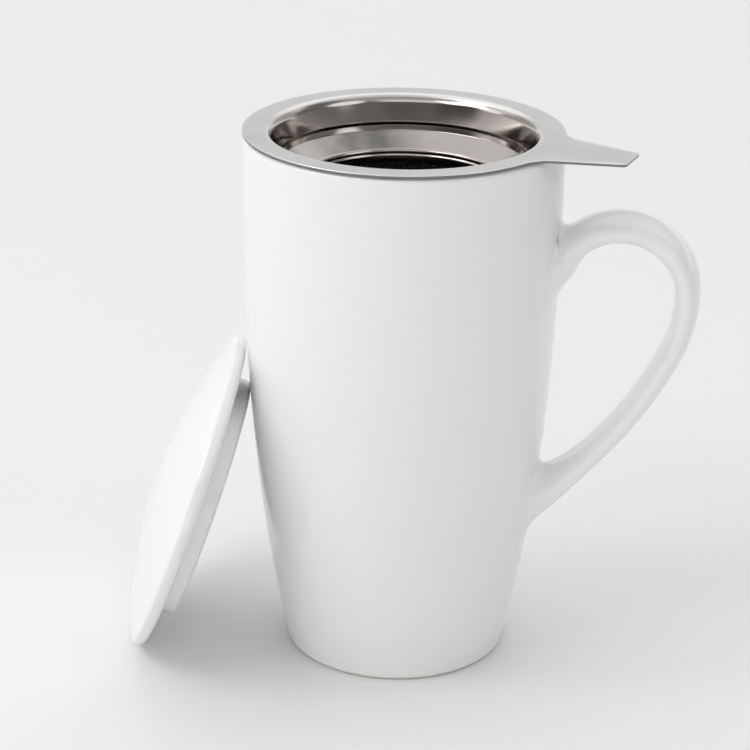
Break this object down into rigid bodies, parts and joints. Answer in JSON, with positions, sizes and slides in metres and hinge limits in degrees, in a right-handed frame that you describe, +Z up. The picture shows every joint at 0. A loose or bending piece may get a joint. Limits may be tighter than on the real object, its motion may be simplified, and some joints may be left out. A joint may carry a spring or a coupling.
{
  "type": "lidded tea mug with infuser",
  "caption": "Tall porcelain tea mug with a loop handle, a lift-out perforated steel infuser with a finger tab, and a loose domed lid that leans against it.",
  "frame": {"origin": "centre of the foot ring, on the table", "axes": "+Z up along the mug's axis, +X out through the middle of the handle, +Y a quarter turn anticlockwise from the handle, seen from above"},
  "size_m": [0.1567, 0.0979, 0.1488],
  "materials": {
    "porcelain": "gloss glaze, with bare clay on the foot ring",
    "rim_steel": "satin flange and tab, polished collar",
    "basket_steel": "fine perforated sheet"
  },
  "bodies": {
    "mug": {"mug_body": "porcelain", "mug_handle": "porcelain"},
    "infuser": {"infuser_rim": "rim_steel", "infuser_sleeve": "basket_steel", "infuser_base": "basket_steel"},
    "lid": {"lid": "porcelain"}
  },
  "joints": [
    {"name": "infuser_lift", "type": "slide", "parent": "mug", "child": "infuser", "axis": [0, 0, 1], "range_m": [0, 0.095]},
    {"name": "lid_tip", "type": "hinge", "parent": "mug", "child": "lid", "pos_m": [-0.07225, -0.01222, 0.002], "axis": [0.1668, -0.986, 0], "range_deg": [0, 88]}
  ]
}
